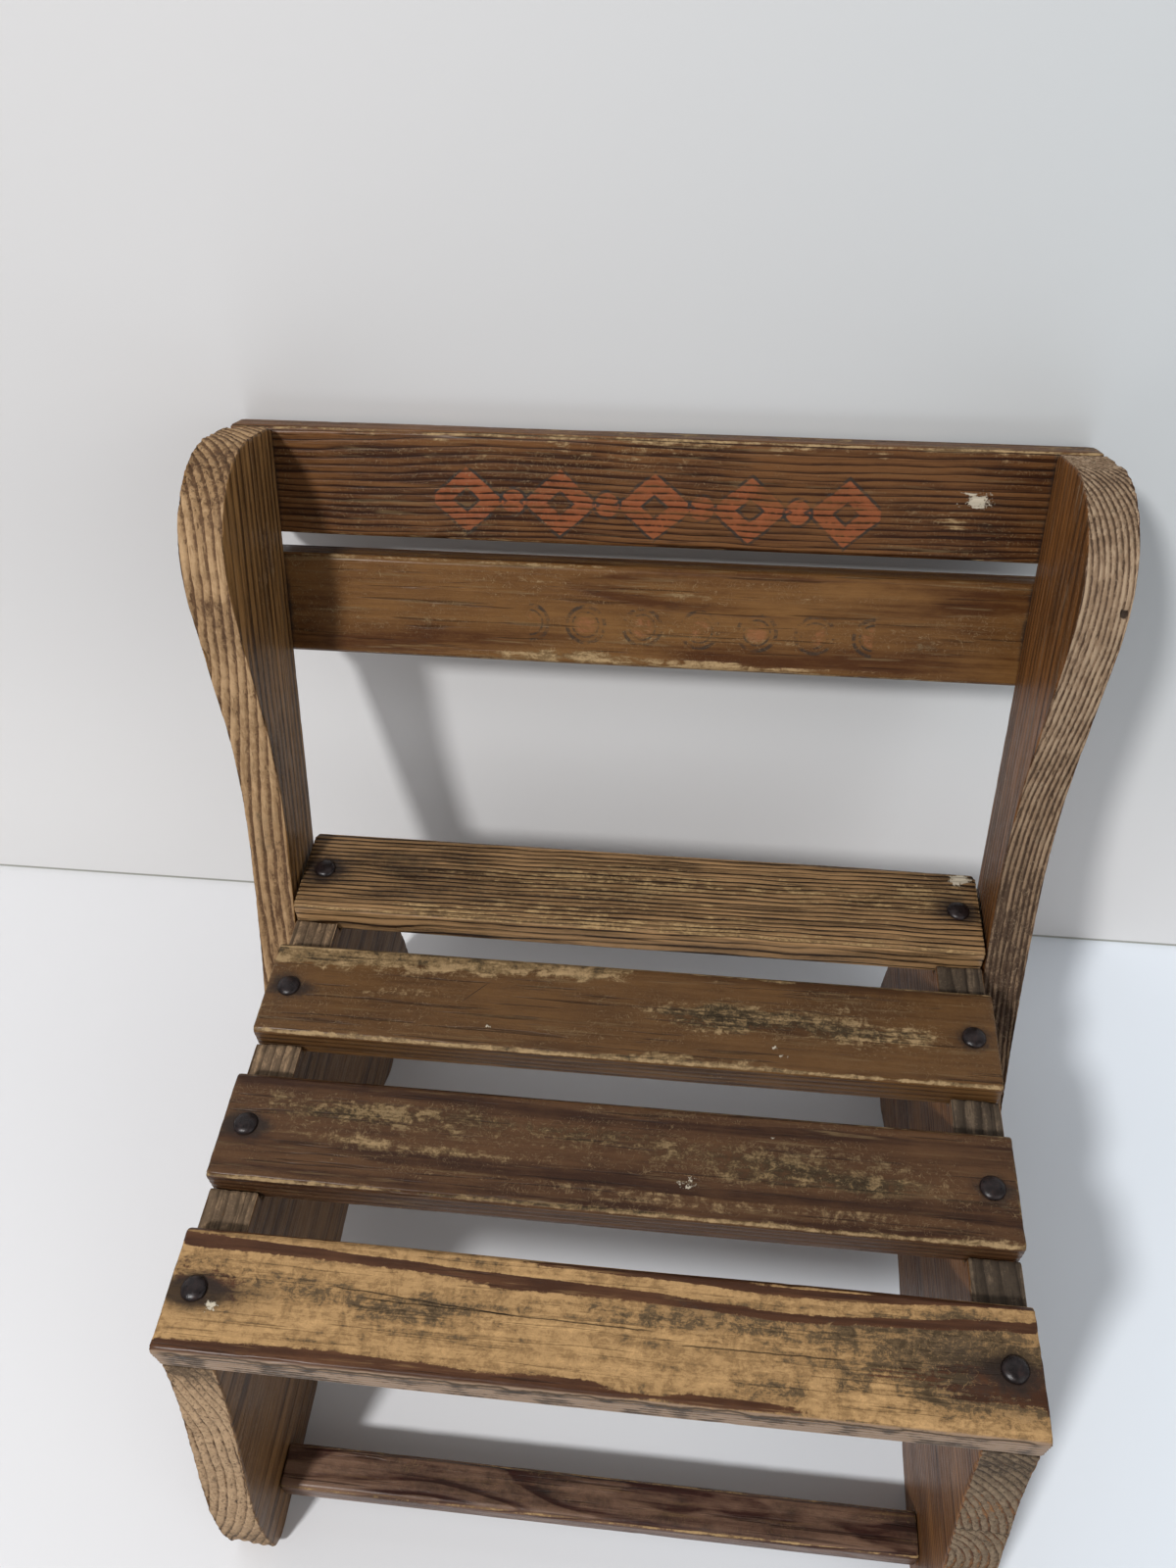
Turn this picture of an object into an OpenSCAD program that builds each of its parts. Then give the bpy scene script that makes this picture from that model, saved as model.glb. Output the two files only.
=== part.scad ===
// Child's slatted chair whose back swings over to the front and becomes a low step.
// The root body is the seat: two leg boards, four slats and a stretcher.
// The back frame turns on two bolts, low down in the legs.
// +Z is up, the sitter faces -Y, and the origin is on the floor under the middle of the object.

/* [Seat] */
// Length of a seat slat, side to side
seat_w = 343; // [300:1:420]
// Height of the seat's top above the floor
seat_h = 182; // [150:1:225]
// Width of a seat slat, front to back
slat_w = 50; // [42:1:60]
// Thickness of a seat slat
slat_t = 19; // [15:1:24]
// Gap between two seat slats
slat_gap = 21; // [15:1:26]
// Rounding of the slats' long edges
slat_r = 3; // [1:0.5:5]
// Rounding of the rear slat's two back corners, seen from above
slat_corner_r = 5; // [2:0.5:10]

/* [Leg boards] */
// Thickness of a leg board
leg_t = 22; // [18:1:27]
// Depth of the notch that holds a slat
notch_d = 8.5; // [5:0.5:12]
// Reach of the front foot past the seat's front edge
toe_out = 34.5; // [20:0.5:45]
// Reach of the rear foot past the seat's back edge
heel_out = 30; // [20:0.5:45]
// Height where a foot reaches furthest out
toe_h = 20; // [15:1:30]
// Rounding of a foot's outer corner
toe_r = 10; // [4:1:14]
// Length of one foot on the floor, at the front
foot_front = 75; // [55:1:95]
// Length of one foot on the floor, at the back
foot_rear = 71; // [55:1:90]
// Rise of the arch between the feet
arch_h = 22.5; // [12:0.5:30]

/* [Stretcher] */
// Depth of the front stretcher, front to back
stretcher_w = 20; // [16:1:28]
// Height of the front stretcher's section
stretcher_t = 17; // [14:1:24]
// Height of the stretcher's underside above the floor
stretcher_z = 11; // [6:1:20]
// Distance from the toe's tip back to the stretcher
stretcher_in = 21.5; // [16:0.5:30]

/* [Back frame] */
// Lean of the back from upright, in degrees
recline = 21.5; // [15:0.1:26]
// Thickness of a back board
back_t = 20; // [16:1:24]
// Length of the back boards above the seat's top, along their slope
back_h = 210; // [190:1:255]
// Width of a back board at its waist
waist_w = 38; // [32:1:44]
// Distance of the waist above the seat's top, along the slope
waist_s = 15; // [5:1:25]
// Steepest angle of the wing's front edge, in degrees
wing_a = 18; // [14:0.5:20]
// Radius of the wing's rounded front corner
wing_corner_r = 44; // [36:1:50]
// Radius of the curve just under the widest point of the wing
wing_crown_r = 80; // [50:5:110]
// Width of a back slat
back_slat_w = 50; // [42:1:56]
// Thickness of a back slat
back_slat_t = 17; // [14:1:20]
// Gap between the two back slats
back_slat_gap = 9; // [5:1:16]
// Rounding of the lower back slat's two upper corners
back_slat_corner_r = 4; // [2:0.5:8]

/* [Pivot and stop] */
// Height of the pivot above the floor
pivot_z = 43; // [35:1:52]
// Radius of the back boards' round lower ends
back_end_r = 29; // [24:1:32]
// Gap between a leg board and a back board
side_gap = 2; // [1.5:0.1:3]
// Diameter of a pivot bolt
bolt_d = 8; // [6:1:10]
// Diameter of a stop pin
stop_d = 10; // [8:1:12]
// Distance of the stop pins below the seat's top, along the back's slope
stop_s = 58; // [50:1:70]

/* [Hardware] */
// Diameter of a nail's domed head
nail_head_d = 11; // [8:0.5:12]
// Height of a nail's domed head
nail_head_h = 2.4; // [1.5:0.1:3]
// Diameter of a nail's shank
nail_d = 3; // [2.5:0.1:4]
// Length of a seat nail's shank
seat_nail_l = 44; // [34:1:50]
// Length of a back slat nail's shank
back_nail_l = 36; // [30:1:42]

/* [Hidden] */

$fn = 48;
ARC = 14;               // flats along one arc of an outline
fit = 0.05;             // radial play of a round piece in its hole
play = 0.3;             // gap between two pieces that move past each other
notch_play = 0.2;       // gap between a slat and each side of its notch
past = 1;               // how far a cut runs past the face that it opens

pine = "#a0703c";
pine_dark = "#7c4a24";
pine_red = "#8a4f28";
iron = "#38302c";
steel = "#8d8c88";
beech = "#b48a58";

// Seat: depth, the front edge of each slat, and the underside that rests in the notches
slat_pitch = slat_w + slat_gap;
seat_d = 4 * slat_w + 3 * slat_gap;
slat_z = seat_h - slat_t;
leg_top = slat_z + notch_d;
leg_in = seat_w / 2 - leg_t;
leg_mid = seat_w / 2 - leg_t / 2;

// Stretcher: its front face, and the point that its screws aim at
stretcher_y = -toe_out + stretcher_in;
screw_y = stretcher_y + stretcher_w / 2;
screw_z = stretcher_z + stretcher_t / 2;

// Back frame, in its own axes: z runs up the boards' straight rear edge from the level of the
// seat's top, y points out of that edge to the rear. The edge starts at the seat's back edge.
back_in = seat_w / 2 + side_gap;
back_out = back_in + back_t;
pivot_s = (pivot_z - seat_h - back_end_r * sin(recline)) / cos(recline);
pivot_y = seat_d + pivot_s * sin(recline) - back_end_r * cos(recline);

// The wing is as wide as the rear edge is high when the back lies level as a step, less a hair
floor_play = 0.6;
wing_w = pivot_z + back_end_r - floor_play;
wing_s = back_h - wing_corner_r;

// Front edge of the board between wing and waist: crown, straight stretch, hollow
hollow_s = wing_s - waist_s - wing_crown_r * sin(wing_a);
hollow_w = wing_w - waist_w - wing_crown_r * (1 - cos(wing_a));
hollow_r = (hollow_s * tan(wing_a) - hollow_w) / (sin(wing_a) * tan(wing_a) - (1 - cos(wing_a)));

// One long hollow runs from the waist down to the round end, and touches it
shin_s = waist_s - pivot_s;
shin_r = (shin_s ^ 2 + (waist_w - back_end_r) ^ 2 - back_end_r ^ 2)
         / (2 * (2 * back_end_r - waist_w));
shin_a = asin(shin_s / (shin_r + back_end_r));

// Stop pin: behind the rear edge of the back board, with the board almost touching it.
// It sits in the outer part of the leg board, and reaches under most of the back board.
stop_y = seat_d - stop_s * sin(recline) + (stop_d / 2 + play) * cos(recline);
stop_z = seat_h - stop_s * cos(recline) - (stop_d / 2 + play) * sin(recline);
stop_deep = 0.6 * leg_t;
stop_end = back_in + 0.7 * back_t;

// Nails: on the middle of a board's thickness, and in pairs on the back slats
nail_pair = back_slat_w / 2;
upper_slat_s = back_h - back_slat_w / 2;
lower_slat_s = upper_slat_s - back_slat_w - back_slat_gap;
board_mid = back_in + back_t / 2;

// Bolt hardware, in the usual proportions to the bolt's diameter
nut_h = 0.8 * bolt_d;
nut_w = 1.65 * bolt_d;
nut_washer_h = 1.6;
washer_r = 1.15 * bolt_d;
spacer_r = 1.4 * bolt_d;
bolt_head_r = 1.1 * bolt_d;
bolt_head_h = 0.45 * bolt_d;
bolt_end = 3;

// Stretcher screws: flush heads in the leg boards' outer faces, so that the back boards clear them
screw_d = 4;
screw_head_r = 4;
screw_head_h = 3.5;
screw_deep = 30;

// The origin is under the middle of the whole object, front to back
slat_back_y = seat_d + (back_h - slat_r) * sin(recline) + (back_slat_t - slat_r) * cos(recline) + slat_r;
mid_y = (slat_back_y - toe_out) / 2;

// Points along an arc about c, from angle a to angle b
function arc(c, r, a, b) = [for (i = [0 : ARC]) let (turn = a + (b - a) * i / ARC)
    c + r * [cos(turn), sin(turn)]];

// A Bezier curve with one handle at each end
function curve(a, ah, bh, b) = [for (i = [0 : ARC]) let (t = i / ARC)
    a * (1 - t) ^ 3 + ah * 3 * t * (1 - t) ^ 2 + bh * 3 * t ^ 2 * (1 - t) + b * t ^ 3];

// An S-shaped edge of a leg board, from under the seat down to where the foot reaches furthest.
// It starts at a slight slope and ends upright; out is its reach, measured away from the seat.
// Each pull is how far a curve's handle reaches, as a share of the edge's height.
edge_drop = slat_z - toe_h;
edge_lean = 9;
top_pull = 0.42;
toe_pull = 0.32;
function s_edge(out) = curve(
    [0, slat_z],
    [0, slat_z] + top_pull * edge_drop * [sin(edge_lean), -cos(edge_lean)],
    [out, toe_h + toe_pull * edge_drop],
    [out, toe_h]);

// Outline of a leg board seen from its side: x is the distance behind the seat's front edge
function flip(points) = [for (i = [len(points) - 1 : -1 : 0]) points[i]];
function front_edge() = [for (p = s_edge(toe_out)) [-p.x, p.y]];
function rear_edge() = [for (p = s_edge(heel_out)) [seat_d + p.x, p.y]];
arch_y1 = -toe_out + foot_front;
arch_y2 = seat_d + heel_out - foot_rear;
arch_half = (arch_y2 - arch_y1) / 2;
arch_r = (arch_half ^ 2 + arch_h ^ 2) / (2 * arch_h);
arch_a = asin(arch_half / arch_r);
leg_outline = concat(
    front_edge(),
    arc([toe_r - toe_out, toe_r], toe_r, 180, 270),
    arc([arch_y1 + arch_half, arch_h - arch_r], arch_r, 90 + arch_a, 90 - arch_a),
    arc([seat_d + heel_out - toe_r, toe_r], toe_r, -90, 0),
    flip(rear_edge()),
    [for (i = [2 : -1 : 0]) each [
        [(i + 1) * slat_pitch - notch_play, slat_z],
        [(i + 1) * slat_pitch - notch_play, leg_top],
        [i * slat_pitch + slat_w + notch_play, leg_top],
        [i * slat_pitch + slat_w + notch_play, slat_z]]]);

// Outline of a back board seen from its side, in the back frame's own y and z
rear_corner_r = 5;
back_outline = concat(
    arc([-back_end_r, pivot_s], back_end_r, 0, -180 + shin_a),
    arc([-waist_w - shin_r, waist_s], shin_r, -shin_a, 0),
    arc([-waist_w - hollow_r, waist_s], hollow_r, 0, wing_a),
    arc([-wing_w + wing_crown_r, wing_s], wing_crown_r, 180 + wing_a, 180),
    arc([-wing_w + wing_corner_r, wing_s], wing_corner_r, 180, 90),
    arc([-rear_corner_r, back_h - rear_corner_r], rear_corner_r, 90, 0));

// ---- helpers ----

// Moves a piece from the seat's front edge to the model's origin
module from_seat() translate([0, -mid_y, 0]) children();

// Puts a piece of the back frame, made in the back frame's own axes, in its place
module from_back() from_seat() translate([0, seat_d, seat_h]) rotate([-recline, 0, 0]) children();

// A board of the given outline, standing across X from x to x + t
module side_board(outline, x, t)
    translate([x, 0, 0]) rotate([90, 0, 90]) linear_extrude(t) polygon(outline);

// A round hole or bar along X
module x_rod(x1, x2, d) translate([x1, 0, 0]) rotate([0, 90, 0]) cylinder(h = x2 - x1, d = d);

// Rectangle with round corners, made of true arcs
module round_rect(w, h, r) {
    translate([r, 0]) square([w - 2 * r, h]);
    translate([0, r]) square([w, h - 2 * r]);
    for (x = [r, w - r], y = [r, h - r]) translate([x, y]) circle(r);
}

// A slat along X with round long edges: its section is w (front to back) by t, its front lower edge
// is at the origin, and its two rear corners are cut back to corner_r, seen from above
module slat(length, w, t, corner_r = 0) {
    intersection() {
        translate([-length / 2, 0, 0]) rotate([90, 0, 90]) linear_extrude(length) round_rect(w, t, slat_r);
        if (corner_r > 0)
            translate([0, 0, -past]) linear_extrude(t + 2 * past) polygon(concat(
                [[-length / 2, -past], [length / 2, -past]],
                arc([length / 2 - corner_r, w - corner_r], corner_r, 0, 90),
                arc([-length / 2 + corner_r, w - corner_r], corner_r, 90, 180)));
    }
}

// A nail with its head's underside at z = 0: a domed head over a shank with a point
dome_r = ((nail_head_d / 2) ^ 2 + nail_head_h ^ 2) / (2 * nail_head_h);
dome_a = asin(nail_head_d / 2 / dome_r);
module nail(length) {
    rotate_extrude() polygon(concat(
        arc([0, nail_head_h - dome_r], dome_r, 90, 90 - dome_a),
        [[nail_d / 2, 0], [nail_d / 2, nail_d - length], [0, -length]]));
}

// The hole that a nail fills, from its head down
module nail_hole(length)
    translate([0, 0, -length - fit]) cylinder(h = length + fit + past, d = nail_d + 2 * fit);

// Places of the nails in the seat: one at each end of each slat, over the middle of the leg board
module each_seat_nail(i) for (side = [-1, 1])
    translate([side * leg_mid, i * slat_pitch + slat_w / 2, seat_h]) children();

// Places of the nails in one back slat: a pair at each end, driven from the rear
module each_back_nail(s) for (side = [-1, 1], up = [-1, 1])
    translate([side * board_mid, back_slat_t, s + up * nail_pair / 2]) rotate([-90, 0, 0]) children();

// ---- seat ----

module leg_board() {
    from_seat() difference() {
        side_board(leg_outline, leg_in, leg_t);
        for (i = [0 : 3]) each_seat_nail(i) nail_hole(seat_nail_l);
        translate([0, pivot_y, pivot_z]) x_rod(leg_in - past, seat_w / 2 + past, bolt_d + 2 * fit);
        translate([0, stop_y, stop_z])
            x_rod(seat_w / 2 - stop_deep - fit, seat_w / 2 + past, stop_d + 2 * fit);
        translate([0, screw_y, screw_z]) screw_shape(fit);
    }
}

module left_leg_board() color(pine) mirror([1, 0, 0]) leg_board();
module right_leg_board() color(pine) leg_board();

module seat_slat(i, corner_r = 0) {
    from_seat() difference() {
        translate([0, i * slat_pitch, slat_z]) slat(seat_w, slat_w, slat_t, corner_r);
        each_seat_nail(i) nail_hole(seat_nail_l);
    }
}

module front_seat_slat() color(pine) seat_slat(0);
module second_seat_slat() color(pine_dark) seat_slat(1);
module third_seat_slat() color(pine) seat_slat(2);
module rear_seat_slat() color(pine_dark) seat_slat(3, slat_corner_r);

module seat_nails() color(iron) from_seat() for (i = [0 : 3]) each_seat_nail(i) nail(seat_nail_l);

module front_stretcher() {
    color(pine_dark) from_seat() difference() {
        translate([-leg_in, stretcher_y, stretcher_z]) rotate([90, 0, 90]) linear_extrude(2 * leg_in)
            round_rect(stretcher_w, stretcher_t, slat_r);
        for (side = [0, 1]) mirror([side, 0, 0]) translate([0, screw_y, screw_z]) screw_shape(fit);
    }
}

// A flush screw along X in the right-hand leg board; grown is extra radius, for the hole
module screw_shape(grown) {
    x = seat_w / 2;
    x_rod(x - leg_t - screw_deep - grown, x - screw_head_h + grown, screw_d + 2 * grown);
    translate([x - screw_head_h, 0, 0]) rotate([0, 90, 0])
        cylinder(h = screw_head_h + grown, r1 = screw_d / 2 + grown, r2 = screw_head_r + grown);
}

module stretcher_screws() color(iron) from_seat() for (side = [0, 1])
    mirror([side, 0, 0]) translate([0, screw_y, screw_z]) screw_shape(0);

// ---- pivot and stop ----

// A domed head outside the back board, and a shank that ends past the nut inside the leg
module pivot_bolt() {
    color(steel) from_seat() translate([0, pivot_y, pivot_z]) {
        end = leg_in - nut_washer_h - nut_h - bolt_end;
        x_rod(end, back_out + play, bolt_d);
        round_r = (bolt_head_r ^ 2 + bolt_head_h ^ 2) / (2 * bolt_head_h);
        translate([back_out + play, 0, 0]) rotate([0, 90, 0]) rotate_extrude() polygon(concat(
            [[0, 0]], arc([0, bolt_head_h - round_r], round_r, 90 - asin(bolt_head_r / round_r), 90)));
    }
}

module ring_at_pivot(x, h, r) {
    color(steel) from_seat() translate([x, pivot_y, pivot_z]) rotate([0, 90, 0]) difference() {
        cylinder(h = h, r = r);
        translate([0, 0, -past]) cylinder(h = h + 2 * past, d = bolt_d + 2 * fit);
    }
}

module pivot_nut() {
    color(steel) from_seat() translate([leg_in - nut_washer_h - nut_h, pivot_y, pivot_z]) rotate([0, 90, 0])
        difference() {
            cylinder(h = nut_h, d = nut_w / cos(30), $fn = 6);
            translate([0, 0, -past]) cylinder(h = nut_h + 2 * past, d = bolt_d + 2 * fit);
        }
}

module nut_washer() ring_at_pivot(leg_in - nut_washer_h, nut_washer_h, washer_r);
module spacer_washer() ring_at_pivot(seat_w / 2, side_gap - play, spacer_r);

// A short dowel in the leg's outer face, which the back board's rear edge leans on
module stop_pin() color(beech) from_seat() translate([0, stop_y, stop_z])
    x_rod(seat_w / 2 - stop_deep, stop_end, stop_d);

module left_pivot_bolt() mirror([1, 0, 0]) pivot_bolt();
module right_pivot_bolt() pivot_bolt();
module left_pivot_nut() mirror([1, 0, 0]) pivot_nut();
module right_pivot_nut() pivot_nut();
module left_nut_washer() mirror([1, 0, 0]) nut_washer();
module right_nut_washer() nut_washer();
module left_spacer_washer() mirror([1, 0, 0]) spacer_washer();
module right_spacer_washer() spacer_washer();
module left_stop_pin() mirror([1, 0, 0]) stop_pin();
module right_stop_pin() stop_pin();

// ---- back frame ----

module back_board() {
    from_back() difference() {
        side_board(back_outline, back_in, back_t);
        translate([0, -back_end_r, pivot_s]) x_rod(back_in - past, back_out + past, bolt_d + 2 * fit);
        for (s = [upper_slat_s, lower_slat_s]) each_back_nail(s) nail_hole(back_nail_l);
    }
}

module left_back_board() color(pine_red) mirror([1, 0, 0]) back_board();
module right_back_board() color(pine_red) back_board();

// A slat on the rear edges of the back boards, as long as the back is wide
module back_slat(s, corner_r = 0) {
    from_back() difference() {
        translate([0, back_slat_t, s - back_slat_w / 2]) rotate([90, 0, 0])
            slat(2 * back_out, back_slat_w, back_slat_t, corner_r);
        each_back_nail(s) nail_hole(back_nail_l);
    }
}

module upper_back_slat() color(pine_red) back_slat(upper_slat_s);
module lower_back_slat() color(pine_red) back_slat(lower_slat_s, back_slat_corner_r);

module back_slat_nails() color(iron) from_back()
    for (s = [upper_slat_s, lower_slat_s]) each_back_nail(s) nail(back_nail_l);

left_leg_board();
right_leg_board();
front_seat_slat();
second_seat_slat();
third_seat_slat();
rear_seat_slat();
seat_nails();
front_stretcher();
stretcher_screws();
left_pivot_bolt();
right_pivot_bolt();
left_pivot_nut();
right_pivot_nut();
left_nut_washer();
right_nut_washer();
left_spacer_washer();
right_spacer_washer();
left_stop_pin();
right_stop_pin();
left_back_board();
right_back_board();
upper_back_slat();
lower_back_slat();
back_slat_nails();
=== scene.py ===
# %% [markdown]
# # A child's slatted chair that folds into a step stool
# It is softwood, brown with old varnish, and worn pale where people sat and stood. Two leg boards carry four
# seat slats and a stretcher; two winged back boards swing on bolts and carry two back slats. The frame that
# is loaded here holds every piece at its true place and size, in metres, and only surfaces are worked on.

# %% Load the frame
import math
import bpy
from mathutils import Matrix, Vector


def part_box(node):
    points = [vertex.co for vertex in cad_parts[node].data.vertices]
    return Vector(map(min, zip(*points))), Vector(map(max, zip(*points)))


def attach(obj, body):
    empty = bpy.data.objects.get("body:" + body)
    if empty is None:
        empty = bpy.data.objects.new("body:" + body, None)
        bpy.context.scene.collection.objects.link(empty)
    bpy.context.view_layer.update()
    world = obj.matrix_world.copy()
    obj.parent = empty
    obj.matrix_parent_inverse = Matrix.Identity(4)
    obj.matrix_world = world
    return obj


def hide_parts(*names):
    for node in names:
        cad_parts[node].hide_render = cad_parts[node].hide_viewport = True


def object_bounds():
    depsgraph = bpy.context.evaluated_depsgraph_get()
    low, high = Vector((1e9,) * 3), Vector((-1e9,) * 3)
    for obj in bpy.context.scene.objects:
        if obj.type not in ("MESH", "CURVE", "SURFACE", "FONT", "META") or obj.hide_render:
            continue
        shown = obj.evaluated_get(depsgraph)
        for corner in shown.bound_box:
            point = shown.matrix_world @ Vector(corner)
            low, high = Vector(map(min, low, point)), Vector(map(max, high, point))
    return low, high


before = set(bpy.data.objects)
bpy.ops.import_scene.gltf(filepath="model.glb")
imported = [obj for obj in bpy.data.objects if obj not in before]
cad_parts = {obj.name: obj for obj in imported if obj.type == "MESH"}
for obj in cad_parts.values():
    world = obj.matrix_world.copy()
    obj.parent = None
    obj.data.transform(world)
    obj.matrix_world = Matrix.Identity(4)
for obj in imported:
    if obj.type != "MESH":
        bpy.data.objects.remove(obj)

from types import SimpleNamespace

import bmesh
import bpy
import numpy as np
from mathutils import Euler, Matrix, Vector, noise

MM = 0.001
cad_box = [list(corner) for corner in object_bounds()]
print("frame box", [[round(x, 4) for x in corner] for corner in cad_box])

# %% [markdown]
# ## Small helpers
# Some steps come back for every piece: putting an object in the scene, turning an edited net into a mesh,
# and finding the middle of a frame piece.


# %% Small helpers
def add_object(name, data):
    """A new object in the scene, at the origin."""
    made = bpy.data.objects.new(name, data)
    bpy.context.scene.collection.objects.link(made)
    return made


def finished_mesh(net, name):
    """A mesh made from a bmesh, which is freed."""
    mesh = bpy.data.meshes.new(name)
    net.to_mesh(mesh)
    net.free()
    return mesh


def merged_net(node):
    """A copy of a frame piece as a bmesh, its loose triangles joined."""
    net = bmesh.new()
    net.from_mesh(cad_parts[node].data)
    bmesh.ops.remove_doubles(net, verts=net.verts, dist=1e-6)
    return net


def middle_of(node):
    low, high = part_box(node)
    return (low + high) / 2


print("seat middle", [round(x, 4) for x in middle_of("second_seat_slat")])

# %% [markdown]
# ## Camera
# The chair is seen from above and in front, a little to the right of its middle, with a wide lens held
# close, which spreads the near seat slats and narrows the back. Place, turn and lens belong together.

# %% Camera
CAMERA_PLACE = (0.0267, -0.2875, 0.6717)
CAMERA_TURN = (41.82, 1.48, 5.88)
LENS_MM = 27.6
SENSOR_MM = 36

camera = add_object("camera", bpy.data.cameras.new("camera"))
camera.location = CAMERA_PLACE
camera.rotation_euler = Euler([math.radians(a) for a in CAMERA_TURN])
camera.data.lens = LENS_MM
camera.data.sensor_width = SENSOR_MM
camera.data.sensor_fit = "AUTO"
camera.data.clip_start, camera.data.clip_end = 0.01, 50
bpy.context.scene.camera = camera
print("camera", CAMERA_PLACE, "lens", LENS_MM)

# %% [markdown]
# ## Shader arithmetic
# Node materials are readable when they are written as sums. A small class wraps one output socket, and
# arithmetic on it makes Math nodes. Colours go through Mix nodes, because a Math node would turn them grey.


# %% Shader arithmetic
class Wire:
    """One output socket of a material. Sums on it add Math nodes, and node() adds any other node."""

    def __init__(self, tree, socket=None):
        self.tree, self.socket = tree, socket

    def node(self, kind, settings=None, sockets=None, out=0):
        made = self.tree.nodes.new("ShaderNode" + kind)
        for name, value in (settings or {}).items():
            setattr(made, name, value)
        for name, value in (sockets or {}).items():
            if isinstance(value, Wire):
                self.tree.links.new(value.socket, made.inputs[name])
            else:
                made.inputs[name].default_value = value
        return Wire(self.tree, made.outputs[out])

    def math(self, operation, *others, clamp=False):
        settings = {"operation": operation, "use_clamp": clamp}
        return self.node("Math", settings, dict(enumerate((self, *others))))

    def __add__(self, other):
        return self.math("ADD", other)

    def __sub__(self, other):
        return self.math("SUBTRACT", other)

    def __rsub__(self, other):
        return self.node("Math", {"operation": "SUBTRACT"}, {0: other, 1: self})

    def __mul__(self, other):
        return self.math("MULTIPLY", other)

    __radd__, __rmul__ = __add__, __mul__

    def fade(self, low, high):
        """0 below low, 1 above high, and a soft step between."""
        return self.node("MapRange", {"interpolation_type": "SMOOTHSTEP"}, {0: self, 1: low, 2: high})

    def over(self, below, above):
        """The colour below where this mask is 0, and above where it is 1."""
        below, above = [c if isinstance(c, Wire) else (*c, 1) for c in (below, above)]
        settings = {"data_type": "RGBA", "clamp_factor": True}
        return self.node("Mix", settings, {0: self, 6: below, 7: above}, out=2)

    def spread(self, scale, detail=3, roughness=0.55, distortion=0.0):
        """Noise from 0 to 1 over this vector."""
        sockets = {"Scale": scale, "Detail": detail, "Roughness": roughness, "Distortion": distortion}
        return self.node("TexNoise", {}, {"Vector": self, **sockets})

    def placed(self, scale=(1, 1, 1), turn=(0, 0, 0)):
        """This vector turned and scaled."""
        return self.node("Mapping", {}, {"Vector": self, "Scale": scale, "Rotation": turn})

    def axis(self, index):
        """One of this vector's three numbers."""
        return self.node("SeparateXYZ", {}, {0: self}, out=index)


def new_finish(name):
    """A material with a Principled shader: the material, the object coordinates and the shader."""
    material = bpy.data.materials.new(name)
    material.use_nodes = True
    tree = material.node_tree
    return material, Wire(tree).node("TexCoord", out=3), tree.nodes["Principled BSDF"]


def plug(start, shader, **values):
    """Links wires into the shader's sockets, or sets plain numbers on them."""
    for name, value in values.items():
        socket = shader.inputs[name.replace("_", " ")]
        if isinstance(value, Wire):
            start.tree.links.new(value.socket, socket)
        else:
            socket.default_value = value


print("shader arithmetic ready")

# %% [markdown]
# ## Floor and wall
# The chair stands on a smooth white floor, its back just off a white wall. The wall has only a front side:
# seen from behind it lets the view through, so the chair's rear can be looked at too. Light and shade are
# painted into both: the floor turns a little lighter and bluer to the right, the wall darker to the right and
# lighter just above the floor. A thin dark line runs along the foot of the wall.

# %% Floor and wall
WALL_GAP = 2.3 * MM
STAGE_REACH = 4.0


def stage_plane(name, corners, material):
    """A single rectangle through four corners, marked as stage."""
    net = bmesh.new()
    net.faces.new([net.verts.new(corner) for corner in corners])
    plane = add_object(name, finished_mesh(net, name))
    plane.data.materials.append(material)
    return plane


def floor_paint_and_light():
    material, place, shader = new_finish("white floor")
    # Painted light: the floor is lighter and bluer towards the right.
    lighter_rightward = place.axis(0).fade(-0.15, 0.35)
    colour = lighter_rightward.over((0.77, 0.77, 0.785), (0.83, 0.885, 0.95))
    plug(place, shader, Base_Color=colour, Roughness=0.32)
    return material


def wall_paint_and_light():
    """Matt white paint on the front, with painted light and shade on it, and nothing on the back."""
    material, place, shader = new_finish("white wall")
    # Painted shade: the wall darkens towards the right.
    paint = place.axis(0).fade(-0.2, 0.35).over((0.63, 0.622, 0.62), (0.57, 0.595, 0.605))
    upward = place.axis(2)
    # Painted light: the wall is lighter just above the floor.
    paint = upward.fade(0.05, 0.35).over((0.76, 0.75, 0.745), paint)
    paint = upward.fade(1.6 * MM, 2.4 * MM).over((0.34, 0.34, 0.30), paint)
    plug(place, shader, Base_Color=paint, Roughness=0.6)
    behind = place.node("NewGeometry", out=6)
    sides = {0: behind, 1: Wire(place.tree, shader.outputs[0]), 2: place.node("BsdfTransparent")}
    one_sided = place.node("MixShader", {}, sides)
    place.tree.links.new(one_sided.socket, place.tree.nodes["Material Output"].inputs["Surface"])
    return material


floor_corners = [(x * STAGE_REACH, y * STAGE_REACH, 0) for x, y in ((-1, -1), (1, -1), (1, 1), (-1, 1))]
stage_plane("floor", floor_corners, floor_paint_and_light())
wall_y = cad_box[1][1] + WALL_GAP
wall_corners = [(x * STAGE_REACH, wall_y, z * STAGE_REACH) for x, z in ((1, 0), (1, 1), (-1, 1), (-1, 0))]
wall = stage_plane("wall", wall_corners, wall_paint_and_light())
wall.visible_shadow = False
print("wall", round(wall_y, 4), "faces", [round(x) for x in wall.data.polygons[0].normal])

# %% [markdown]
# ## Lamps
# A small lamp high on the left gives crisp shadows, a broad one from the front right fills them, and an even
# sky lights the rest. What is chosen is the level that a lamp adds to a white surface; its power follows.


# %% Lamps
def soft_lamp(name, toward, distance, width, level):
    """A round lamp aimed at the seat. level is what it adds to a white surface that faces it."""
    light = bpy.data.lights.new(name, "AREA")
    light.shape, light.size = "DISK", width
    light.energy = level * math.pi**2 * distance**2
    lamp = add_object(name, light)
    direction = Vector(toward).normalized()
    lamp.location = Vector((0, 0, 0.15)) + direction * distance
    lamp.rotation_euler = direction.to_track_quat("Z", "Y").to_euler()


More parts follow.
